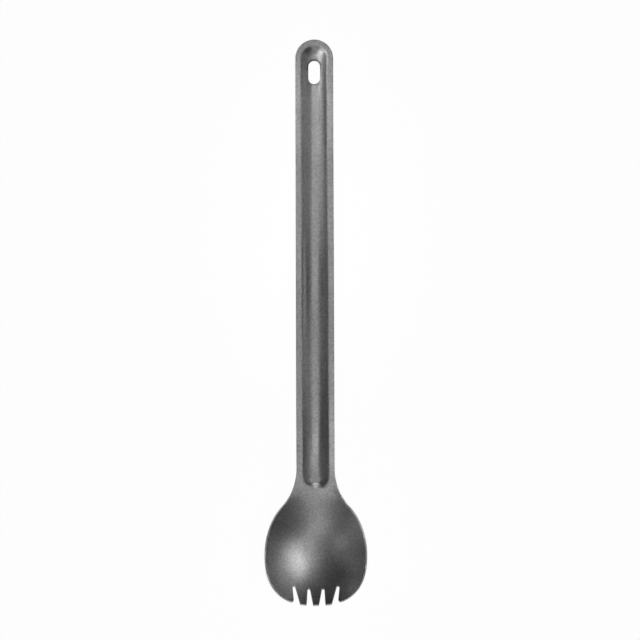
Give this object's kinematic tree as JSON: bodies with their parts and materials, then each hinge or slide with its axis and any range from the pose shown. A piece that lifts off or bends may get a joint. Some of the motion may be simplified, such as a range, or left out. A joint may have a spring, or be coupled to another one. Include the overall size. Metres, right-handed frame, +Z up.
{
  "type": "long-handled spoon",
  "caption": "Long-handled spork pressed from titanium sheet: a deep oval bowl with short tines at its front and a channelled handle with a slot for hanging.",
  "frame": {"origin": "on the table under the middle of the part's bounding box, with the spork lying bowl upwards", "axes": "+Y along the length towards the handle's rounded end, the tines at -Y; +X across the width; +Z up, out of the bowl"},
  "size_m": [0.0394, 0.2175, 0.0137],
  "materials": {
    "titanium": "dull, bead-blasted"
  },
  "bodies": {
    "root": {"spork": "titanium"}
  },
  "joints": []
}
